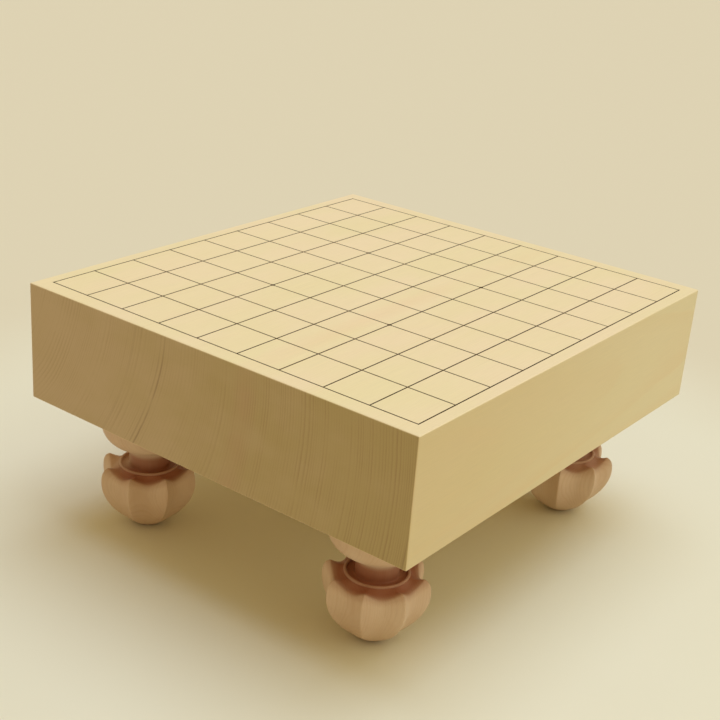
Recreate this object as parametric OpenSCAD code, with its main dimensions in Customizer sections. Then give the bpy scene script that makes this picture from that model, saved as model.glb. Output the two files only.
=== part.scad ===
/* [Board] */
// Width of the board, along the players' edges
board_w = 333; // [280:1:380]
// Depth of the board, from player to player
board_d = 364; // [300:1:420]
// Thickness of the board
board_t = 87; // [60:1:180]
// Chamfer that eases every edge of the board
edge_ease = 0.5; // [0.3:0.1:2]

/* [Playing grid] */
// Cells along each side of the grid
cells = 9; // [5:1:13]
// Bare wood between the grid and a side edge of the board
margin_x = 9.9; // [6:0.1:24]
// Bare wood between the grid and a player's edge of the board
margin_y = 12.8; // [6:0.1:24]
// Width of a lacquer line
line_w = 1; // [0.5:0.1:1.2]
// Height of the lacquer above the wood
line_rise = 0.12; // [0.05:0.01:0.3]
// Depth of the groove that a line lies in
line_sink = 0.18; // [0.1:0.01:0.4]
// Cells between a corner of the grid and its star point
star_cell = 3; // [1:1:4]
// Radius of a star point
star_r = 1.5; // [1:0.1:2.5]

/* [Leg] */
// Height from the floor to the underside of the board
leg_h = 100; // [94:1:140]
// Distance from a leg's axis to the board's side edge
leg_inset_x = 60; // [44:1:80]
// Distance from a leg's axis to the board's end edge
leg_inset_y = 58; // [44:1:80]
// Radius of the fruit at its ridges, at the widest level
fruit_r = 37.5; // [32:0.5:40]
// Height of the widest level above the floor
fruit_wide_z = 39; // [34:0.5:42]
// Height of the crown's tips above the floor
crown_z = 49.5; // [47:0.5:52]
// Radius of the crown at its tips
crown_r = 32; // [29:0.5:34]
// Radius of the flat sole, at its ridges
sole_r = 8.5; // [7:0.5:14]
// Radius of the crown's rim in the middle of a facet
rim_r = 28; // [25:0.5:29]
// Radius of the hollow between two tips
scallop_r = 18.5; // [14:0.5:22]
// Radius of the neck
neck_r = 14.5; // [12:0.5:17]
// Radius of the bead round the neck
bead_r = 20.5; // [19:0.5:23]
// Thickness of the bead
bead_t = 2.4; // [1.6:0.2:3]
// Height of the bead's top above the tips
bead_rise = 1; // [0.5:0.5:3]
// Height of the straight part of the neck above the bead
neck_h = 6; // [4:0.5:9]
// Height over which the neck swells out to the full shoulder
swell_h = 27; // [20:1:30]
// Radius of the shoulder against the board
shoulder_r = 35; // [30:0.5:38]

/* [Tenon] */
// Side of the square tenon on a leg
tenon_w = 30; // [20:1:36]
// Length of the tenon
tenon_l = 28; // [18:1:40]
// Chamfer round the tenon's end
tenon_lead = 1.5; // [0.5:0.5:3]
// Gap between tenon and mortise on each side
tenon_gap = 0.1; // [0.05:0.05:0.3]
// Gap past the end of the tenon
tenon_end_gap = 3; // [1:0.5:6]

/* [Sound recess] */
// Side of the square recess in the underside
recess_w = 90; // [60:1:110]
// Depth of the recess at its walls
recess_depth = 14; // [10:1:20]
// Width of the flat channel inside the walls
recess_channel = 6; // [5:0.5:10]
// How far the tip of the pyramid stays below the underside
recess_tip_gap = 3; // [1:0.5:6]

/* [Hidden] */

// Levels, counted from the floor
top_z = leg_h + board_t;
bead_z = crown_z + bead_rise;
swell_z = bead_z + neck_h;

// Size of the grid between the middles of its outer lines
grid_w = board_w - 2 * margin_x;
grid_d = board_d - 2 * margin_y;

// How far a cutter reaches past the face it opens
past = 1;
// How deep a turned or squared part of the leg is rooted in the next one
root = 3;
// Length of the straight prisms that shape and carve the fruit
prism_l = 3 * fruit_r;

// Leg positions as signs of X and Y
FRONT_LEFT = [-1, -1];
FRONT_RIGHT = [1, -1];
BACK_LEFT = [-1, 1];
BACK_RIGHT = [1, 1];
CORNERS = [FRONT_LEFT, FRONT_RIGHT, BACK_LEFT, BACK_RIGHT];

// The fruit has eight ridges, with a flat facet towards each side of the board
facets = 8;
facet_step = 360 / facets;
apothem_share = cos(facet_step / 2);

// Pull points of the curve from the sole to the widest level, as shares of its width and height
sole_pull = [0.45, 0.18];
wide_pull = [1, 0.56];
belly_steps = 12;
brow_steps = 5;

// Pull points of the curve from the neck to the shoulder, as shares of its width and height
neck_pull = [0.03, 0.41];
shoulder_pull = [0.95, 0.26];
swell_steps = 10;

// Slope of the crown's top, which falls from the neck to the hollows
crown_slope = 21;
// Radius of the groove between two crests of the crown's top
crest_groove_r = 18;
// Lean of the hollow between two tips
scallop_lean = 20;
// How far the crown's hollows lie below its tips at the bead
groove_drop = 0.7;
// Flats round a gouge cut
gouge_flats = 36;

fine = 96;
wood_colour = "#d9bf8c";
leg_colour = "#c9966b";
lacquer_colour = "#23211c";

// Foot of a leg's axis, on the floor
function leg_foot(corner) =
    [corner.x * (board_w / 2 - leg_inset_x), corner.y * (board_d / 2 - leg_inset_y), 0];

// Distance of grid line i from the middle, for a grid of the given size
function line_at(i, size) = (i / cells - 0.5) * size;

function bezier(a, b, c, d, t) =
    pow(1 - t, 3) * a + 3 * pow(1 - t, 2) * t * b + 3 * (1 - t) * t * t * c + pow(t, 3) * d;

// Ridge radius and height along the fruit, from the sole to above the tips
function belly_point(t) = let (
    rise = [fruit_r - sole_r, fruit_wide_z],
    sole = [sole_r, 0],
    wide = [fruit_r, fruit_wide_z],
    from_sole = sole + [rise.x * sole_pull.x, rise.y * sole_pull.y],
    to_wide = [sole.x + rise.x * wide_pull.x, rise.y * wide_pull.y]
) bezier(sole, from_sole, to_wide, wide, t);

function brow_point(angle) =
    [crown_r + (fruit_r - crown_r) * cos(angle), fruit_wide_z + (crown_z - fruit_wide_z) * sin(angle)];

fruit_profile = concat(
    [for (i = [0:belly_steps]) belly_point(i / belly_steps)],
    [for (i = [1:brow_steps]) brow_point(90 * i / brow_steps)]
);

// One pair of opposite facets, as a straight prism with the fruit's outline
module facet_pair() {
    right = [for (p = fruit_profile) [p.x * apothem_share, p.y]];
    left = [for (i = [len(right) - 1:-1:0]) [-right[i].x, right[i].y]];
    rotate([90, 0, 0])
        linear_extrude(height = prism_l, center = true)
            polygon(concat(right, left));
}

module fruit_body() {
    intersection_for (i = [0:facets / 2 - 1])
        rotate([0, 0, i * facet_step])
            facet_pair();
}

// Round cutter of narrow flats, as a carver's gouge leaves them
module gouge(r, h) {
    step = 360 / gouge_flats;
    linear_extrude(height = h, center = true)
        polygon([for (i = [0:gouge_flats - 1]) r * [cos((i + 0.5) * step), sin((i + 0.5) * step)]]);
}

// A groove that runs outward and down over each facet, which leaves crests towards the tips
module crest_groove() {
    translate([bead_r, 0, crown_z - groove_drop + crest_groove_r / cos(crown_slope)])
        rotate([0, 90 + crown_slope, 0])
            gouge(crest_groove_r, prism_l);
}

// A round hollow in the brow of each facet, which leaves pointed tips between
module scallop_cut() {
    rim_z = crown_z - groove_drop - (rim_r - bead_r) * tan(crown_slope);
    translate([rim_r, 0, rim_z])
        rotate([0, -scallop_lean, 0])
            translate([scallop_r, 0, 0])
                gouge(scallop_r, prism_l);
}

module fruit() {
    difference() {
        fruit_body();
        for (i = [0:facets - 1])
            rotate([0, 0, i * facet_step]) {
                crest_groove();
                scallop_cut();
            }
    }
}

// Half-round bead on the crown, round the foot of the neck
module bead() {
    bead_round = bead_t / 2;
    round_z = bead_z - bead_round;
    foot_z = crown_z - root;
    rotate_extrude($fn = fine) {
        translate([bead_r, round_z]) circle(r = bead_round, $fn = fine);
        translate([bead_r - bead_round, foot_z]) square([bead_t, round_z - foot_z]);
    }
}

function swell_point(t) = let (
    rise = [shoulder_r - neck_r, swell_h],
    low = [neck_r, swell_z],
    from_neck = low + [rise.x * neck_pull.x, rise.y * neck_pull.y],
    to_shoulder = low + [rise.x * shoulder_pull.x, rise.y * shoulder_pull.y]
) bezier(low, from_neck, to_shoulder, low + rise, t);

// Neck that swells out into the round shoulder against the underside of the board
module neck_and_shoulder() {
    rotate_extrude($fn = fine)
        polygon(concat(
            [[0, leg_h], [0, crown_z - root], [neck_r, crown_z - root]],
            [for (i = [0:swell_steps]) swell_point(i / swell_steps)],
            [[shoulder_r, leg_h]]
        ));
}

// Square tenon with its far edges taken off
module tenon() {
    half = tenon_w / 2;
    lead_z = tenon_l - tenon_lead;
    end_half = half - tenon_lead;
    outline = [[-half, -root], [half, -root], [half, lead_z], [end_half, tenon_l], [-end_half, tenon_l],
        [-half, lead_z]];
    translate([0, 0, leg_h])
        intersection_for (turn = [0, 90])
            rotate([90, 0, turn])
                linear_extrude(height = tenon_w, center = true)
                    polygon(outline);
}

module leg(corner) {
    color(leg_colour)
        translate(leg_foot(corner)) {
            fruit();
            bead();
            neck_and_shoulder();
            tenon();
        }
}

// Rectangle with its corners taken off
module eased_outline(a, b) {
    x = a / 2;
    y = b / 2;
    in_x = x - edge_ease;
    in_y = y - edge_ease;
    polygon([[in_x, -y], [x, -in_y], [x, in_y], [in_x, y], [-in_x, y], [-x, in_y], [-x, -in_y], [-in_x, -y]]);
}

// Block with every edge eased by a small chamfer
module eased_block() {
    translate([0, 0, leg_h + board_t / 2])
        intersection() {
            linear_extrude(height = board_t, center = true)
                eased_outline(board_w, board_d);
            rotate([90, 0, 0])
                linear_extrude(height = board_d, center = true)
                    eased_outline(board_w, board_t);
            rotate([90, 0, 90])
                linear_extrude(height = board_w, center = true)
                    eased_outline(board_d, board_t);
        }
}

// Square mortise for a leg's tenon
module mortise(corner) {
    side = tenon_w + 2 * tenon_gap;
    depth = tenon_l + tenon_end_gap;
    translate(leg_foot(corner) + [0, 0, leg_h + (depth - past) / 2])
        cube([side, side, depth + past], center = true);
}

// Square recess in the underside, with a low pyramid in its middle
module sound_recess() {
    base = recess_w / 2 - recess_channel;
    pyramid = [[0, recess_tip_gap], [base, recess_depth], [base, recess_depth + past],
        [-base, recess_depth + past], [-base, recess_depth]];
    translate([0, 0, leg_h])
        difference() {
            translate([0, 0, (recess_depth - past) / 2])
                cube([recess_w, recess_w, recess_depth + past], center = true);
            intersection_for (turn = [0, 90])
                rotate([90, 0, turn])
                    linear_extrude(height = recess_w, center = true)
                        polygon(pyramid);
        }
}

module star_outlines() {
    at = [star_cell, cells - star_cell];
    for (i = at, j = at)
        translate([line_at(i, grid_w), line_at(j, grid_d)]) circle(r = star_r, $fn = fine);
}

module line_outlines() {
    for (i = [0:cells]) {
        translate([line_at(i, grid_w), 0]) square([line_w, grid_d + line_w], center = true);
        translate([0, line_at(i, grid_d)]) square([grid_w + line_w, line_w], center = true);
    }
}

module board() {
    color(wood_colour)
        difference() {
            eased_block();
            for (corner = CORNERS) mortise(corner);
            sound_recess();
            translate([0, 0, top_z - line_sink])
                linear_extrude(height = line_sink + past) {
                    line_outlines();
                    star_outlines();
                }
        }
}

module lacquer_grid() {
    color(lacquer_colour)
        translate([0, 0, top_z - line_sink])
            linear_extrude(height = line_sink + line_rise)
                difference() {
                    line_outlines();
                    star_outlines();
                }
}

module star_points() {
    color(lacquer_colour)
        translate([0, 0, top_z - line_sink])
            linear_extrude(height = line_sink + line_rise)
                star_outlines();
}

module leg_front_left() { leg(FRONT_LEFT); }
module leg_front_right() { leg(FRONT_RIGHT); }
module leg_back_left() { leg(BACK_LEFT); }
module leg_back_right() { leg(BACK_RIGHT); }

board();
lacquer_grid();
star_points();
leg_front_left();
leg_front_right();
leg_back_left();
leg_back_right();
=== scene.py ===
"""A legged shogi board: a block of pale wood with a lacquered grid, on four carved legs."""

import math

import bmesh
import bpy
from mathutils import Matrix, Vector


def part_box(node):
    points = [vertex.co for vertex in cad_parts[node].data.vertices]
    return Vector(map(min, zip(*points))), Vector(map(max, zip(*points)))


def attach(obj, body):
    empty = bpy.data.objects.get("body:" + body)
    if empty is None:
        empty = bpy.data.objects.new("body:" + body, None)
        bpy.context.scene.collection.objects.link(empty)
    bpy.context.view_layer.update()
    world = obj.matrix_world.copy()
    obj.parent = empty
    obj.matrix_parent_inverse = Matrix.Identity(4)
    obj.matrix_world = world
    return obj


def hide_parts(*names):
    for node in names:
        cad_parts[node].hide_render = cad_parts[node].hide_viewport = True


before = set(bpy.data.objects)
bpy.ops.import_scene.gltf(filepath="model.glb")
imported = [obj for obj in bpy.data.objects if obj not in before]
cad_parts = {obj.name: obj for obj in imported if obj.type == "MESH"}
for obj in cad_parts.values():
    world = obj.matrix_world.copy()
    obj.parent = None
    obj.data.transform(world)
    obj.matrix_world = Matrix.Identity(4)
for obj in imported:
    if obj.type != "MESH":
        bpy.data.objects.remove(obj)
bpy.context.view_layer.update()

MM = 0.001

# Places and sizes that come from the frame, in millimetres
board_low, board_high = (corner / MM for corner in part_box("board"))
grid_low, grid_high = (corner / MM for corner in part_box("lacquer_grid"))
TOP_Z = board_high.z
LEG_H = board_low.z
LEG_NAMES = ("leg_front_left", "leg_front_right", "leg_back_left", "leg_back_right")

# Board
EDGE_ROUND = 0.8
EDGE_SEGMENTS = 4
RECESS_W = 90
RECESS_DEPTH = 14
RECESS_CHANNEL = 6
RECESS_TIP_GAP = 3
RECESS_EASE = 0.7
TENON_W = 30
TENON_GAP = 0.1
MORTISE_DEPTH = 31
CUT_PAST = 1

# Lacquer
CELLS = 9
LINE_W = 1
LINE_RISE = 0.11
LACQUER_ROOT = 0.1
STAR_CELL = 3
STAR_R = 1.5
STAR_STEPS = 6
STAR_COLUMNS = 32
LACQUER_CREASE = 50

# Leg: the fruit, from its sole to the tips of its crown
SOLE_R = 8.5
SOLE_FLAT_R = 5.5
SOLE_SHARE = 0.97
FACETS_FULL_Z = 12
FRUIT_R = 37.5
FRUIT_WIDE_Z = 39
TIP_R = 32
TIP_Z = 50
HOLLOW_START_Z = 26
HOLLOW_LEAN = 20
RIM_R = 28.5
RIM_Z = 44
RIM_ROUND = 0.7
DISH = 0.9
FLUTE_DEPTH = 4.2
FLUTE_START_Z = 2
FLUTE_FULL_Z = 30
FACETS = 8
FACET_STEP = 360 / FACETS
FACET_MIDDLE = math.cos(math.radians(FACET_STEP / 2))
RIDGE_ROUND = 0.75
LEG_CREASE = 40

# Leg: the bead, neck, shoulder and tenon above the fruit
BEAD_R = 21
BEAD_T = 1.9
BEAD_TOP_Z = 50.2
BEAD_FOOT_Z = 48.3
LEDGE_DROP = 0.4
LEDGE_ROUND = 0.5
NECK_R = 14.5
NECK_ROOT_ROUND = 1.5
SWELL_Z = 56.5
SWELL_H = 27
SHOULDER_R = 35
SHOULDER_ROUND = 1.2
TENON_L = 28
TENON_LEAD = 1.5
TENON_ROOT = 3

# Leg: how dark the painted shade is on each part, and how far it runs out
# The foot's shade is painted contact shade where the leg meets the floor; the rim's is painted shade under
# the crown's edge
FOOT_SHADE = 0.7
FOOT_SHADE_H = 5
FOOT_SHADE_FULL_Z = 0.5
RIM_SHADE = 0.35
RIM_SHADE_H = 5
EDGE_SHADES = (0.42, 0.48, 0.55, 0.61)
CROWN_SHADE = 0.66
CROWN_FULL_SHARE = 0.6
BEAD_SHADE = 0.7
NECK_SHADE = 0.9
NECK_SHADE_H = 5.5
# Where the painted shade is lifted, as painted light on the side of a leg that gets more light: towards this
# angle round the leg, and how much
SHADE_LIFT_SIDES = {"leg_front_left": (180, 0.7), "leg_back_right": (0, 0.25)}
SHADE_LIFT_WIDTH = 0.9


def new_piece(name, verts, faces, body, material):
    """A piece of the given mesh, in millimetres, that rides on a body."""
    mesh = bpy.data.meshes.new(name)
    mesh.from_pydata([Vector(v) * MM for v in verts], [], faces)
    mesh.validate()
    mesh.materials.append(material)
    mesh.shade_smooth()
    piece = bpy.data.objects.new(name, mesh)
    bpy.context.scene.collection.objects.link(piece)
    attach(piece, body)
    return piece


def bezier(a, b, c, d, t):
    """The point at share t of a curve from a to d, which is pulled towards b and c."""
    return tuple(
        (1 - t) ** 3 * p + 3 * (1 - t) ** 2 * t * q + 3 * (1 - t) * t * t * r + t ** 3 * s
        for p, q, r, s in zip(a, b, c, d)
    )


def smoothstep(low, high, x):
    """A smooth rise from 0 at low to 1 at high, which may lie below low."""
    t = min(max((x - low) / (high - low), 0), 1)
    return t * t * (3 - 2 * t)


def mix(a, b, t):
    return a + (b - a) * t


def rounded(before, corner, after, radius, steps=3):
    """Points that take a corner of an outline round, in place of the corner."""
    start, end = (
        [c + (p - c) * radius / math.dist(point, corner) for p, c in zip(point, corner)]
        for point in (before, after)
    )
    shares = [i / steps for i in range(steps + 1)]
    return [
        tuple((1 - t) ** 2 * a + 2 * t * (1 - t) * b + t * t * c for a, b, c in zip(start, corner, end))
        for t in shares
    ]


# The board: a block with rounded edges, four mortises and the carved recess in its underside

def scratch_object(name, mesh):
    scratch = bpy.data.objects.new(name, mesh)
    bpy.context.scene.collection.objects.link(scratch)
    return scratch


def block(name, low, high, edge_round=0.0):
    """A plain box as a scratch object, with its edges rounded where a radius is given."""
    bm = bmesh.new()
    bmesh.ops.create_cube(bm, size=MM)
    size = high - low
    bmesh.ops.scale(bm, vec=size, verts=bm.verts)
    bmesh.ops.translate(bm, vec=(low + size / 2) * MM, verts=bm.verts)
    if edge_round:
        bmesh.ops.bevel(
            bm, geom=bm.edges[:], offset=edge_round * MM, segments=EDGE_SEGMENTS, profile=0.5, affect="EDGES"
        )
    mesh = bpy.data.meshes.new(name)
    bm.to_mesh(mesh)
    bm.free()
    return scratch_object(name, mesh)


def square_rings(rings):
    """Corners and side faces of square rings, each given as its half width and height."""
    signs = ((-1, -1), (1, -1), (1, 1), (-1, 1))
    verts = [(sx * half, sy * half, z) for half, z in rings for sx, sy in signs]
    faces = [
        (4 * ring + i, 4 * ring + (i + 1) % 4, 4 * ring + 4 + (i + 1) % 4, 4 * ring + 4 + i)
        for ring in range(len(rings) - 1)
        for i in range(4)
    ]
    return verts, faces


def recess_cutter():
    """The hollow of the recess as a solid: eased mouth, flat channel, and a low pyramid left standing."""
    half = RECESS_W / 2
    rings = [
        (half + RECESS_EASE + CUT_PAST, -CUT_PAST),
        (half, RECESS_EASE),
        (half, RECESS_DEPTH),
        (half - RECESS_CHANNEL, RECESS_DEPTH),
    ]
    verts, faces = square_rings(rings)
    tip = len(verts)
    verts.append((0, 0, RECESS_TIP_GAP))
    faces += [(tip - 4 + i, tip - 4 + (i + 1) % 4, tip) for i in range(4)]
    faces.append((3, 2, 1, 0))
    mesh = bpy.data.meshes.new("recess")
    mesh.from_pydata([Vector((x, y, z + LEG_H)) * MM for x, y, z in verts], [], faces)
    return scratch_object("recess", mesh)


def leg_centre(name):
    low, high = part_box(name)
    return (low + high) / 2 / MM


def mortise_cutter(name):
    centre = leg_centre(name)
    half = TENON_W / 2 + TENON_GAP
    low = Vector((centre.x - half, centre.y - half, LEG_H - CUT_PAST))
    high = Vector((centre.x + half, centre.y + half, LEG_H + MORTISE_DEPTH))
    return block("mortise", low, high)


def cut_and_settle(piece, cutters):
    """Cuts the solids out of the piece, and keeps the large faces' normals flat up to the rounded edges."""
    for cutter in cutters:
        cut = piece.modifiers.new("cut", "BOOLEAN")
        cut.operation = "DIFFERENCE"
        cut.solver = "EXACT"
        cut.object = cutter
    weigh = piece.modifiers.new("weigh", "WEIGHTED_NORMAL")
    weigh.weight = 100
    bpy.context.view_layer.update()
    settled = piece.evaluated_get(bpy.context.evaluated_depsgraph_get())
    solid = bpy.data.meshes.new_from_object(settled)
    piece.modifiers.clear()
    piece.data = solid
    for cutter in cutters:
        bpy.data.objects.remove(cutter)


def make_board(material):
    piece = block("board_block", board_low, board_high, EDGE_ROUND)
    piece.data.shade_smooth()
    cut_and_settle(piece, [recess_cutter()] + [mortise_cutter(name) for name in LEG_NAMES])
    piece.data.materials.clear()
    piece.data.materials.append(material)
    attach(piece, "board")
    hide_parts("board")


# The lacquer: lines with a low rounded back, and star points as drops

# Across a line, as shares of its width from its middle, and of its rise
LINE_ACROSS = ((-0.5, 0), (-0.3, 0.8), (0, 1), (0.3, 0.8), (0.5, 0))


def line_places(low, high):
    """The middles of the grid's lines, whose outer edges lie at low and high."""
    first, last = low + LINE_W / 2, high - LINE_W / 2
    return [mix(first, last, i / CELLS) for i in range(CELLS + 1)]


def strip_edges(low, high):
    """Places across all the lines one after the other, with the rise at each."""
    return [(place + share * LINE_W, rise) for place in line_places(low, high) for share, rise in LINE_ACROSS]


def make_lines(material):
    """Both sets of lines as one film: a lattice of strips, five points across each, that share crossings."""
    columns = strip_edges(grid_low.x, grid_high.x)
    rows = strip_edges(grid_low.y, grid_high.y)
    across = len(LINE_ACROSS)
    on_line = [i % across < across - 1 for i in range(len(columns) - 1)]
    verts, index = [], {}

    def corner(i, j, under):
        if (i, j, under) not in index:
            (x, rise_x), (y, rise_y) = columns[i], rows[j]
            z = TOP_Z - LACQUER_ROOT if under else TOP_Z + max(rise_x, rise_y) * LINE_RISE
            index[i, j, under] = len(verts)
            verts.append((x, y, z))
        return index[i, j, under]

    cells = [(i, j) for i, a in enumerate(on_line) for j, b in enumerate(on_line) if a or b]
    faces, sides = [], {}
    for i, j in cells:
        ring = [(i, j), (i + 1, j), (i + 1, j + 1), (i, j + 1)]
        faces.append([corner(*p, False) for p in ring])
        faces.append([corner(*p, True) for p in reversed(ring)])
        for a, b in zip(ring, ring[1:] + ring[:1]):
            if (b, a) in sides:
                del sides[b, a]
            else:
                sides[a, b] = True
    faces += [[corner(*a, True), corner(*b, True), corner(*b, False), corner(*a, False)] for a, b in sides]
    lines = new_piece("lacquer_lines", verts, faces, "board", material)
    lines.data.set_sharp_from_angle(angle=math.radians(LACQUER_CREASE))
    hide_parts("lacquer_grid")


def ring_faces(rings, around):
    """Faces of a closed body: a point, rings of points, and a point."""
    last = 1 + rings * around
    faces = [(0, 1 + (i + 1) % around, 1 + i) for i in range(around)]
    for ring in range(rings - 1):
        low = 1 + ring * around
        for i in range(around):
            j = (i + 1) % around
            faces.append((low + i, low + j, low + around + j, low + around + i))
    top = last - around
    faces += [(top + i, top + (i + 1) % around, last) for i in range(around)]
    return faces


def lathe(outline, columns, centre):
    """Mesh turned from an outline of (radius, height) pairs, whose first and last points lie on the axis."""
    rings = outline[1:-1]
    verts = [(*centre, outline[0][1])]
    verts += [
        (centre[0] + r * math.cos(math.radians(a)), centre[1] + r * math.sin(math.radians(a)), z)
        for r, z in rings
        for a in columns
    ]
    verts.append((*centre, outline[-1][1]))
    return verts, ring_faces(len(rings), len(columns))


def make_star_points(material):
    """Four drops of lacquer on the crossings, as one piece."""
    turns = [i / STAR_STEPS * math.pi / 2 for i in range(STAR_STEPS + 1)]
    back = [(STAR_R * math.cos(a), TOP_Z + LINE_RISE * math.sin(a)) for a in turns]
    outline = [(0, TOP_Z - LACQUER_ROOT), (STAR_R, TOP_Z - LACQUER_ROOT)] + back
    columns = [i * 360 / STAR_COLUMNS for i in range(STAR_COLUMNS)]
    across, along = line_places(grid_low.x, grid_high.x), line_places(grid_low.y, grid_high.y)
    verts, faces = [], []
    for i in (STAR_CELL, CELLS - STAR_CELL):
        for j in (STAR_CELL, CELLS - STAR_CELL):
            drop_verts, drop_faces = lathe(outline, columns, (across[i], along[j]))
            faces += [[len(verts) + k for k in face] for face in drop_faces]
            verts += drop_verts
    drops = new_piece("star_drops", verts, faces, "board", material)
    drops.data.set_sharp_from_angle(angle=math.radians(LACQUER_CREASE))
    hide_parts("star_points")


# A leg: one mesh of rings, from the sole up over the facets, the crown, the bead, the neck and the shoulder

RIDGE_OFFSETS = (0, 0.4, 0.9, 1.6, 2.7, 4.5, 7, 10, 14, 18, 22.5)
BELLY_STEPS = 22
BROW_STEPS = 9
CROWN_STEPS = 7
BEAD_STEPS = 8
SWELL_STEPS = 22


def leg_columns():
    """Angles round a leg, closer together near the ridges, and how far each is from its ridge, in degrees."""
    far_side = [FACET_STEP - o for o in reversed(RIDGE_OFFSETS[1:-1])]
    return [
        ((facet + 0.5) * FACET_STEP + o, min(o, FACET_STEP - o))
        for facet in range(FACETS)
        for o in (*RIDGE_OFFSETS, *far_side)
    ]


def facet_shares(offset):
    """At this angle from a ridge: the flat facet's radius for a ridge at 1, and the share of its hollow."""
    half = FACET_STEP / 2
    soft = min(math.hypot(offset, RIDGE_ROUND), half)
    flat = FACET_MIDDLE / math.cos(math.radians(half - soft))
    return flat, math.sin(math.radians(90 * soft / half))


def ridge_curve():
    """The fruit's outline along a ridge, from just above the sole to a tip of the crown."""
    rise = (FRUIT_R - SOLE_R, FRUIT_WIDE_Z)
    sole, wide = (SOLE_R, 0), (FRUIT_R, FRUIT_WIDE_Z)
    from_sole = (SOLE_R + 0.45 * rise[0], 0.18 * rise[1])
    to_wide = (FRUIT_R, 0.56 * rise[1])
    belly = [bezier(sole, from_sole, to_wide, wide, i / BELLY_STEPS) for i in range(1, BELLY_STEPS + 1)]
    foot = rounded((0, 0), sole, belly[1], SOLE_R - SOLE_FLAT_R)
    tip = (TIP_R, TIP_Z)
    from_wide = (FRUIT_R, mix(FRUIT_WIDE_Z, TIP_Z, 0.7))
    to_tip = (mix(TIP_R, FRUIT_R, 0.6), mix(TIP_Z, FRUIT_WIDE_Z, 0.09))
    brow = [bezier(wide, from_wide, to_tip, tip, i / BROW_STEPS) for i in range(1, BROW_STEPS + 1)]
    return foot + belly[2:] + brow


def hollow_curve(ridge):
    """The fruit's outline along the middle of a facet, point for point with the ridge's."""
    low = [
        (r * FACET_MIDDLE - FLUTE_DEPTH * smoothstep(FLUTE_START_Z, FLUTE_FULL_Z, z), z)
        for r, z in ridge
    ]
    start = max(i for i, (_, z) in enumerate(low) if z < HOLLOW_START_Z)
    (r0, z0), (r1, z1) = low[start - 1], low[start]
    reach = (RIM_Z - z1) / 3
    up = (r1 + (r1 - r0) * reach / (z1 - z0), z1 + reach)
    down = (RIM_R + reach * math.tan(math.radians(HOLLOW_LEAN)), RIM_Z - reach)
    steps = len(ridge) - 1 - start
    hollow = [bezier(low[start], up, down, (RIM_R, RIM_Z), i / steps) for i in range(steps + 1)]
    return low[:start] + hollow


def turned_part():
    """The part above the crown, from the bead to the edge of the shoulder's top: radius, height and painted
    shade.
    """
    inside = BEAD_R - BEAD_T / 2
    bead_z = BEAD_TOP_Z - BEAD_T / 2
    ledge_z = BEAD_FOOT_Z - LEDGE_DROP
    bead = [
        (BEAD_R + BEAD_T / 2 * math.cos(a), bead_z + BEAD_T / 2 * math.sin(a))
        for a in (math.pi * i / BEAD_STEPS for i in range(BEAD_STEPS + 1))
    ]
    ledge = rounded((inside, bead_z), (inside, ledge_z), (NECK_R, ledge_z), LEDGE_ROUND)
    root = rounded((inside, ledge_z), (NECK_R, ledge_z), (NECK_R, SWELL_Z), NECK_ROOT_ROUND)
    neck = (NECK_R, SWELL_Z)
    full = (SHOULDER_R, SWELL_Z + SWELL_H)
    out = SHOULDER_R - NECK_R
    from_neck = (NECK_R + 0.03 * out, SWELL_Z + 0.41 * SWELL_H)
    to_full = (NECK_R + 0.95 * out, SWELL_Z + 0.26 * SWELL_H)
    swell = [bezier(neck, from_neck, to_full, full, i / SWELL_STEPS) for i in range(SWELL_STEPS + 1)]
    edge = rounded(full, (SHOULDER_R, LEG_H), (0, LEG_H), SHOULDER_ROUND)
    return (
        [(r, z, BEAD_SHADE) for r, z in bead]
        + [(r, z, 1.0) for r, z in ledge + root]
        + [(r, z, NECK_SHADE - NECK_SHADE * smoothstep(SWELL_Z, SWELL_Z + NECK_SHADE_H, z)) for r, z in swell]
        + [(r, z, 0.0) for r, z in edge]
    )


def fruit_shade(z, rim_z):
    """The painted shade on the fruit: contact shade at its foot, and shade just below its rim."""
    at_rim = RIM_SHADE * smoothstep(rim_z - RIM_SHADE_H, rim_z, z)
    return at_rim + FOOT_SHADE * smoothstep(FOOT_SHADE_H, FOOT_SHADE_FULL_Z, z)


def leg_outline(offset, ridge, middle, turned):
    """All points of a leg at this angle from a ridge: radius, height and painted shade."""
    flat, hollow = facet_shares(offset)
    outer = []
    for (r, z), (mid_r, mid_z) in zip(ridge, middle):
        faceted = smoothstep(0, FACETS_FULL_Z, z)
        facet_r = r * mix(SOLE_SHARE, flat, faceted) - (r * FACET_MIDDLE - mid_r) * hollow * faceted
        outer.append((facet_r, z - (z - mid_z) * hollow))
    rim, foot = outer[-1], (BEAD_R + BEAD_T / 2, BEAD_FOOT_Z)
    shares = [i / CROWN_STEPS for i in range(1, CROWN_STEPS + 1)]
    crown = [
        (mix(rim[0], foot[0], t), mix(rim[1], foot[1], t ** 0.8) - DISH * math.sin(math.pi * t))
        for t in shares
    ]
    crown_shades = [mix(CROWN_SHADE, 1, smoothstep(0, CROWN_FULL_SHARE, t)) for t in shares]
    edge = rounded(outer[-2], rim, crown[0], RIM_ROUND)
    return (
        [(r, z, fruit_shade(z, rim[1])) for r, z in outer[:-1]]
        + [(r, z, shade) for (r, z), shade in zip(edge, EDGE_SHADES)]
        + [(r, z, shade) for (r, z), shade in zip(crown, crown_shades)]
        + turned
    )


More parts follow.
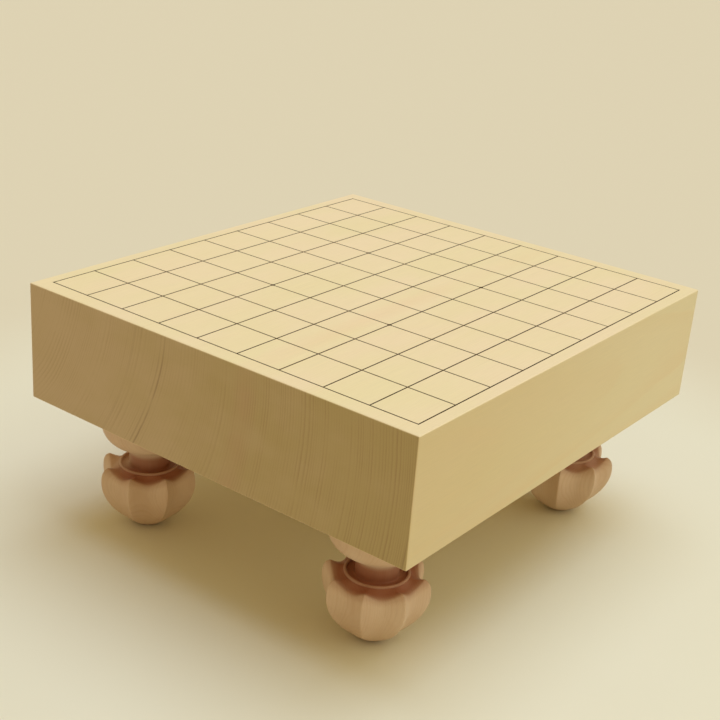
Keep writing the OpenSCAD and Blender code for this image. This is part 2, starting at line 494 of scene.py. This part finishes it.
def make_leg(name, material):
    """A carved leg, with the painted shade stored at its points for the material."""
    centre = leg_centre(name)
    columns = leg_columns()
    ridge = ridge_curve()
    middle = hollow_curve(ridge)
    turned = turned_part()
    outlines = [leg_outline(offset, ridge, middle, turned) for _, offset in columns]
    turns = [math.radians(angle) for angle, _ in columns]
    # Painted light: the painted shade is lifted towards one side of some legs
    lifted_towards, lift_share = SHADE_LIFT_SIDES.get(name, (0, 0))
    shade_lifts = [lift_share * smoothstep(0, SHADE_LIFT_WIDTH, math.cos(turn - math.radians(lifted_towards))) for turn in turns]
    verts, shades = [(centre.x, centre.y, 0)], [FOOT_SHADE]
    for level in range(len(outlines[0])):
        for turn, shade_lift, outline in zip(turns, shade_lifts, outlines):
            r, z, shade = outline[level]
            verts.append((centre.x + r * math.cos(turn), centre.y + r * math.sin(turn), z))
            shades.append(shade * (1 - shade_lift))
    verts.append((centre.x, centre.y, LEG_H))
    shades.append(0.0)
    faces = ring_faces(len(outlines[0]), len(columns))
    half = TENON_W / 2
    rings = [(half, -TENON_ROOT), (half, TENON_L - TENON_LEAD), (half - TENON_LEAD, TENON_L)]
    tenon_verts, tenon_faces = square_rings(rings)
    first = len(verts)
    verts += [(centre.x + x, centre.y + y, LEG_H + z) for x, y, z in tenon_verts]
    shades += [0.0] * len(tenon_verts)
    faces += [[first + k for k in face] for face in tenon_faces + [(3, 2, 1, 0), (8, 9, 10, 11)]]
    piece = new_piece("carved_" + name, verts, faces, name, material)
    piece.data.attributes.new("shade", "FLOAT", "POINT").data.foreach_set("value", shades)
    piece.data.set_sharp_from_angle(angle=math.radians(LEG_CREASE))
    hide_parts(name)


# Materials

class Shader:
    """Adds the nodes of one material and joins them. Lengths in it are millimetres."""

    def __init__(self, name):
        self.material = bpy.data.materials.new(name)
        self.material.use_nodes = True
        self.tree = self.material.node_tree
        self.surface = self.tree.nodes["Principled BSDF"]
        self.coordinates = self.tree.nodes.new("ShaderNodeTexCoord")

    def join(self, socket, value):
        if isinstance(value, bpy.types.NodeSocket):
            self.tree.links.new(value, socket)
        else:
            socket.default_value = value

    def dress(self, name, value):
        """Sets an input of the surface, to a value or to what a node gives."""
        self.join(self.surface.inputs[name], value)

    def add(self, kind, inputs, **settings):
        node = self.tree.nodes.new("ShaderNode" + kind)
        for name, value in settings.items():
            setattr(node, name, value)
        for name, value in inputs.items():
            self.join(node.inputs[name], value)
        return node

    def math(self, operation, *values, clamp=False):
        return self.add("Math", dict(enumerate(values)), operation=operation, use_clamp=clamp).outputs[0]

    def sum(self, first, *rest):
        for value in rest:
            first = self.math("ADD", first, value)
        return first

    def times(self, first, *rest):
        for value in rest:
            first = self.math("MULTIPLY", first, value)
        return first

    def apart(self, a, b):
        return self.math("ABSOLUTE", self.math("SUBTRACT", a, b))

    def distance(self, a, b):
        """The length of a flat vector from its two parts."""
        return self.math("SQRT", self.sum(self.times(a, a), self.times(b, b)))

    def scaled(self, vector, *factors):
        return self.add("VectorMath", {0: vector, 1: factors}, operation="MULTIPLY").outputs[0]

    def moved(self, vector, *offsets):
        return self.add("VectorMath", {0: vector, 1: offsets}, operation="ADD").outputs[0]

    def parts(self, vector):
        return self.add("SeparateXYZ", {0: vector}).outputs

    def noise(self, place, *sizes, detail=2.0):
        """Noise about zero, from about -0.5 to 0.5, with features of about these sizes along x, y and z."""
        vector = self.scaled(place, *(1 / size for size in sizes))
        node = self.add("TexNoise", {"Vector": vector, "Scale": 1.0, "Detail": detail})
        return self.math("SUBTRACT", node.outputs["Fac"], 0.5)

    def ramp(self, value, low, high, start=0.0, end=1.0):
        """A smooth step from start to end as the value goes from low to high."""
        steps = dict(enumerate((value, low, high, start, end)))
        return self.add("MapRange", steps, interpolation_type="SMOOTHSTEP").outputs[0]

    def mixed(self, share, first, second):
        return self.add("Mix", {0: share, 6: first, 7: second}, data_type="RGBA").outputs[2]

    def brighter(self, colour, share):
        """The colour made brighter, or darker below zero, by a share of itself."""
        factor = self.math("ADD", share, 1.0)
        return self.add("VectorMath", {0: colour, "Scale": factor}, operation="SCALE").outputs[0]

    def millimetres(self):
        return self.scaled(self.coordinates.outputs["Object"], 1 / MM, 1 / MM, 1 / MM)

    def facing(self, axis, power):
        """How squarely the surface faces along an axis, either way, from 0 to 1."""
        along = self.parts(self.coordinates.outputs["Normal"])[axis]
        return self.math("POWER", self.math("ABSOLUTE", along), power)

    def bump(self, height, strength, distance):
        node = self.add("Bump", {"Height": height, "Strength": strength, "Distance": distance * MM})
        self.dress("Normal", node.outputs[0])


def growth_rings(shader, radius, width):
    """The dark share of the wood from its growth rings, for a distance from the pith in millimetres."""
    along_radius = shader.add("CombineXYZ", {0: radius}).outputs[0]
    spread = shader.noise(along_radius, 26, 26, 26, detail=1.0)
    phase = shader.sum(shader.times(radius, 1 / width), shader.times(spread, 9.0))
    share = shader.math("FRACT", phase)
    ring = shader.math("FLOOR", phase)
    weight = shader.add("TexWhiteNoise", {"W": ring}, noise_dimensions="1D").outputs["Value"]
    grown = shader.ramp(share, 0.3, 0.9)
    stopped = shader.ramp(share, 0.9, 1.0, 1.0, 0.0)
    return shader.times(grown, stopped, shader.ramp(weight, 0.0, 1.0, 0.35, 1.0))


def linear(red, green, blue):
    """A colour as a screen shows it, from 0 to 255, as the linear values that nodes hold."""
    def one(value):
        share = value / 255
        return share / 12.92 if share <= 0.04045 else ((share + 0.055) / 1.055) ** 2.4
    return (one(red), one(green), one(blue), 1.0)


# The board's wood: the pith's place beyond the left side, its height over the top there and its fall
# towards the right, and the rings' width, drift, waver, lean and strength
PITH_X = -280
PITH_RISE = 34
PITH_FALL = 70
RING_W = 2.1
RING_DRIFT = 7.0
RING_WAVER = 0.7
RING_LEAN = 0.012
RING_DEPTH = 0.24
END_RING_DEPTHS = (0.32, 0.6)
TONES_REACH = 190

# Its colours, in pairs where one tone drifts into another
TOP_TONES = (linear(234, 209, 163), linear(230, 210, 156))
# The sides' tone grows lighter from the front to the back: painted shading
SIDE_TONES = (linear(217, 194, 143), linear(229, 214, 172))
# The end grain's colours, these and the end late wood and end band wood below, are darker than the rest,
# partly the end grain's own tone and partly painted shade; these tones grow darker towards +X as painted
# shade
END_TONES = (linear(195, 168, 128), linear(180, 156, 102))
LATE_WOOD = linear(224, 185, 124)
END_LATE_WOOD = linear(153, 118, 71)
STREAK_WOOD = linear(111, 71, 40)
BAND_WOOD = linear(231, 197, 150)
END_BAND_WOOD = linear(186, 151, 110)

# Dark streaks on the end grain: a place on each, as x and height over the top, and its strength
STREAKS = ((-47.5, -45.0, 0.42), (-51.0, -45.0, 0.2), (-69.0, -30.0, 0.16), (160.3, -20.0, 0.35))
STREAK_SOLID = 0.15
STREAK_HALF = 0.9

# A warm band of rings that crosses the top
BAND_RADIUS = 314
BAND_HALF = 13


def pith_distance(shader, x, z):
    """Distance from the tree's middle, which lies beyond the board's left side and above its top."""
    fall = shader.ramp(x, -80.0, 150.0, PITH_RISE, PITH_RISE - PITH_FALL)
    height = shader.math("SUBTRACT", z, shader.sum(fall, TOP_Z))
    side = shader.math("SUBTRACT", x, PITH_X)
    return shader.distance(side, height)


def ground_wood(shader, x, y, end, clouds):
    """The board's colour between the rings: one on its top, one along its sides, lighter towards the back as
    painted shading, and one on its end grain, darker partly as painted shade.
    """
    top = shader.mixed(shader.ramp(clouds, -0.25, 0.25), *TOP_TONES)
    side = shader.mixed(shader.ramp(y, -TONES_REACH, TONES_REACH), *SIDE_TONES)
    along = shader.mixed(shader.times(shader.facing(0, 6.0), 0.8), top, side)
    across = shader.sum(x, shader.times(clouds, 300.0))
    cut = shader.mixed(shader.ramp(across, -TONES_REACH, TONES_REACH), *END_TONES)
    return shader.mixed(end, along, cut)


def streak_share(shader, radius, end, visible):
    streak = 0.0
    for x, height, strength in STREAKS:
        middle = math.dist((x, height), (PITH_X, PITH_RISE))
        line = shader.ramp(shader.apart(radius, middle), STREAK_SOLID, STREAK_HALF, strength, 0.0)
        streak = shader.sum(streak, shader.times(line, end, visible))
    return streak


def board_wood():
    """Pale, close-grained wood. The trunk ran along Y, so the rings show on the faces towards the players."""
    shader = Shader("board_wood")
    place = shader.millimetres()
    x, y, z = shader.parts(place)
    drift = shader.times(shader.noise(place, 120, 400, 120, detail=1.0), RING_DRIFT)
    waver = shader.times(shader.noise(place, 9, 90, 9), RING_WAVER)
    radius = shader.sum(pith_distance(shader, x, z), drift, waver, shader.times(y, RING_LEAN))
    visible = shader.ramp(shader.noise(place, 45, 160, 30), -0.2, 0.2, 0.25, 1.0)
    rings = shader.times(growth_rings(shader, radius, RING_W), visible)
    end = shader.facing(1, 6.0)
    fibres = shader.noise(place, 0.5, 26, 0.5, detail=3.0)
    pores = shader.noise(place, 0.35, 0.35, 0.35)
    clouds = shader.noise(place, 38, 110, 24, detail=3.0)

    end_depth = shader.ramp(x, -60.0, 160.0, *END_RING_DEPTHS)
    extra = shader.times(end, shader.math("SUBTRACT", end_depth, RING_DEPTH))
    depth = shader.times(rings, shader.sum(extra, RING_DEPTH))
    late = shader.mixed(end, LATE_WOOD, END_LATE_WOOD)
    colour = shader.mixed(depth, ground_wood(shader, x, y, end, clouds), late)
    colour = shader.mixed(streak_share(shader, radius, end, visible), colour, STREAK_WOOD)
    in_band = shader.ramp(shader.apart(radius, BAND_RADIUS), 0.0, BAND_HALF, 0.5, 0.0)
    band_wood = shader.mixed(end, BAND_WOOD, END_BAND_WOOD)
    colour = shader.mixed(shader.times(in_band, visible), colour, band_wood)
    grain = shader.sum(shader.times(fibres, 0.14), shader.times(pores, shader.times(end, 0.16)))
    shader.dress("Base Color", shader.brighter(colour, grain))
    dull = shader.ramp(end, 0.0, 1.0, 0.5, 0.66)
    shader.dress("Roughness", shader.sum(shader.times(fibres, 0.2), shader.times(rings, -0.05), dull))
    shader.bump(shader.sum(shader.times(rings, 0.5), fibres, shader.times(pores, end)), 0.25, 0.12)
    return shader.material


# The legs' wood: the pith's place from each leg's middle, the rings' width, waver and lean, and the colours
PITHS = {
    "leg_front_left": (-70, 25),
    "leg_front_right": (55, 60),
    "leg_back_left": (-40, -75),
    "leg_back_right": (80, -30),
}
LEG_RING_W = 1.7
LEG_RING_WAVER = 3.0
LEG_RING_LEAN = 0.03
LEG_APART = 150
LEG_TONES = (linear(220, 192, 161), linear(211, 178, 145))
LEG_LATE_WOOD = linear(182, 127, 84)
# Painted shade: a dark red-brown laid over the crown, bead, neck, rim and foot where shade falls, and how
# fully it covers the wood
PAINTED_SHADE_COLOUR = linear(142, 68, 31)
PAINTED_SHADE_DEPTH = 0.86


def leg_wood(name, seed):
    """Warm, fine-grained wood of a leg, with the trunk upright, and painted shade darkening the crown and
    neck.
    """
    shader = Shader(name)
    centre = leg_centre(name)
    pith_x, pith_y = PITHS[name]
    place = shader.moved(shader.millimetres(), -centre.x, -centre.y, 0.0)
    moved = shader.moved(place, 0.0, 0.0, LEG_APART * seed)
    waver = shader.times(shader.noise(moved, 18, 18, 110), LEG_RING_WAVER)
    x, y, z = shader.parts(shader.moved(place, -pith_x, -pith_y, 0.0))
    radius = shader.sum(shader.distance(x, y), waver, shader.times(z, LEG_RING_LEAN))
    rings = growth_rings(shader, radius, LEG_RING_W)
    end = shader.facing(2, 4.0)
    fibres = shader.noise(moved, 0.4, 0.4, 14, detail=3.0)
    clouds = shader.noise(moved, 22, 22, 40)
    early = shader.mixed(shader.ramp(clouds, -0.3, 0.3), *LEG_TONES)
    depth = shader.times(rings, shader.ramp(end, 0.0, 1.0, 0.14, 0.22))
    colour = shader.mixed(depth, early, LEG_LATE_WOOD)
    # The shade attribute carries the painted shade, made patchy by the clouds
    shade = shader.add("Attribute", {}, attribute_name="shade").outputs["Fac"]
    patchy = shader.math("ADD", shade, shader.times(clouds, shade, 0.25), clamp=True)
    colour = shader.mixed(shader.times(patchy, PAINTED_SHADE_DEPTH), colour, PAINTED_SHADE_COLOUR)
    shader.dress("Base Color", shader.brighter(colour, shader.times(fibres, 0.16)))
    shader.dress("Roughness", shader.sum(shader.times(fibres, 0.25), 0.56))
    shader.dress("Specular IOR Level", 0.3)
    shader.bump(shader.sum(shader.times(rings, 0.4), fibres), 0.25, 0.12)
    return shader.material


LACQUER_TONES = (linear(48, 31, 5), linear(62, 40, 8))


def lacquer():
    """Black lacquer with a brown cast, slightly uneven."""
    shader = Shader("black_lacquer")
    place = shader.millimetres()
    patches = shader.noise(place, 14, 14, 14, detail=3.0)
    shader.dress("Base Color", shader.mixed(shader.ramp(patches, -0.3, 0.3), *LACQUER_TONES))
    shader.dress("Specular IOR Level", 0.05)
    shader.dress("Roughness", shader.sum(shader.times(patches, 0.3), 0.36))
    shader.bump(shader.noise(place, 1.5, 1.5, 1.5), 0.3, 0.05)
    return shader.material


# Stage, light and camera

FLOOR_SIZE = 30
FLOOR_TONES = (linear(226, 217, 186), linear(228, 220, 190))
FAR_FLOOR = linear(219, 206, 173)
FAR_FROM = 330
FAR_TO = 560
# Name, turn from +X, height, width of the light's disc, strength and colour of each lamp
LAMPS = (
    ("key", 80, 80, 50, 2.06, (0.55, 0.68, 1.0)),
    ("side", 35, 45, 85, 0.82, (0.86, 1.0, 0.96)),
)
SKY_STRENGTH = 0.52
SKY_COLOUR = (1.0, 0.82, 0.5, 1.0)
BACKGROUND = (0.73, 0.652, 0.451, 1.0)


def floor_material():
    shader = Shader("floor")
    place = shader.millimetres()
    patches = shader.noise(place, 300, 300, 300)
    near = shader.mixed(shader.ramp(patches, -0.3, 0.3), *FLOOR_TONES)
    away = shader.distance(*shader.parts(place)[:2])
    shader.dress("Base Color", shader.mixed(shader.ramp(away, FAR_FROM, FAR_TO), near, FAR_FLOOR))
    shader.dress("Roughness", 0.8)
    shader.dress("Specular IOR Level", 0.0)
    return shader.material


def make_stage():
    half = FLOOR_SIZE / 2
    mesh = bpy.data.meshes.new("floor")
    corners = [(-half, -half, 0), (half, -half, 0), (half, half, 0), (-half, half, 0)]
    mesh.from_pydata(corners, [], [(0, 1, 2, 3)])
    mesh.materials.append(floor_material())
    floor = bpy.data.objects.new("floor", mesh)
    bpy.context.scene.collection.objects.link(floor)


def make_lamps():
    for name, turn, height, width, strength, colour in LAMPS:
        lamp = bpy.data.lights.new(name, "SUN")
        lamp.angle = math.radians(width)
        lamp.energy = strength
        lamp.color = colour
        holder = bpy.data.objects.new(name, lamp)
        bpy.context.scene.collection.objects.link(holder)
        turn, height = math.radians(turn), math.radians(height)
        level = math.cos(height)
        towards = Vector((math.cos(turn) * level, math.sin(turn) * level, math.sin(height)))
        holder.rotation_euler = towards.to_track_quat("Z", "Y").to_euler()


def make_surround():
    """An even warm light from all round, and a plain pale background for the camera and for reflections."""
    world = bpy.data.worlds.new("soft_box")
    world.use_nodes = True
    tree = world.node_tree
    sky = tree.nodes["Background"]
    sky.inputs["Color"].default_value = SKY_COLOUR
    sky.inputs["Strength"].default_value = SKY_STRENGTH
    backdrop = tree.nodes.new("ShaderNodeBackground")
    backdrop.inputs["Color"].default_value = BACKGROUND
    rays = tree.nodes.new("ShaderNodeLightPath")
    seen = rays.outputs["Is Camera Ray"]
    for kind in ("Is Glossy Ray", "Is Transmission Ray"):
        either = tree.nodes.new("ShaderNodeMath")
        either.operation = "MAXIMUM"
        tree.links.new(seen, either.inputs[0])
        tree.links.new(rays.outputs[kind], either.inputs[1])
        seen = either.outputs[0]
    choice = tree.nodes.new("ShaderNodeMixShader")
    tree.links.new(seen, choice.inputs[0])
    tree.links.new(sky.outputs[0], choice.inputs[1])
    tree.links.new(backdrop.outputs[0], choice.inputs[2])
    tree.links.new(choice.outputs[0], tree.nodes["World Output"].inputs["Surface"])
    bpy.context.scene.world = world


# The photograph's camera: its turn, height and roll in degrees, its place from the middle of the board's top
# in millimetres, and its focal length and picture's middle in pixels

FRAME = 720
FOCAL = 1305
CAMERA_TURN = 37.46
CAMERA_HEIGHT = 23.01
CAMERA_ROLL = 3.99
CAMERA_DISTANCE = 946
CAMERA_ASIDE = -29.4
CAMERA_RAISED = -61.8
PICTURE_MIDDLE = (331.87, 368.5)
SENSOR = 36


def make_camera():
    turn, height, roll = (math.radians(a) for a in (CAMERA_TURN, CAMERA_HEIGHT, CAMERA_ROLL))
    back = Vector((math.sin(turn) * math.cos(height), -math.cos(turn) * math.cos(height), math.sin(height)))
    level = Vector((math.cos(turn), math.sin(turn), 0))
    upright = back.cross(level)
    right = level * math.cos(roll) + upright * math.sin(roll)
    up = upright * math.cos(roll) - level * math.sin(roll)
    eye = back * CAMERA_DISTANCE + level * CAMERA_ASIDE + upright * CAMERA_RAISED + Vector((0, 0, TOP_Z))
    pose = Matrix((right, up, back)).transposed().to_4x4()
    pose.translation = eye * MM
    camera = bpy.data.objects.new("camera", bpy.data.cameras.new("camera"))
    bpy.context.scene.collection.objects.link(camera)
    camera.matrix_world = pose
    camera.data.sensor_width = SENSOR
    camera.data.lens = SENSOR * FOCAL / FRAME
    camera.data.shift_x = (FRAME / 2 - PICTURE_MIDDLE[0]) / FRAME
    camera.data.shift_y = (PICTURE_MIDDLE[1] - FRAME / 2) / FRAME
    bpy.context.scene.camera = camera


make_camera()
make_stage()
make_lamps()
make_surround()
bpy.context.scene.view_settings.view_transform = "Standard"
make_board(board_wood())
black = lacquer()
make_lines(black)
make_star_points(black)
for seed, name in enumerate(LEG_NAMES):
    make_leg(name, leg_wood(name, seed))
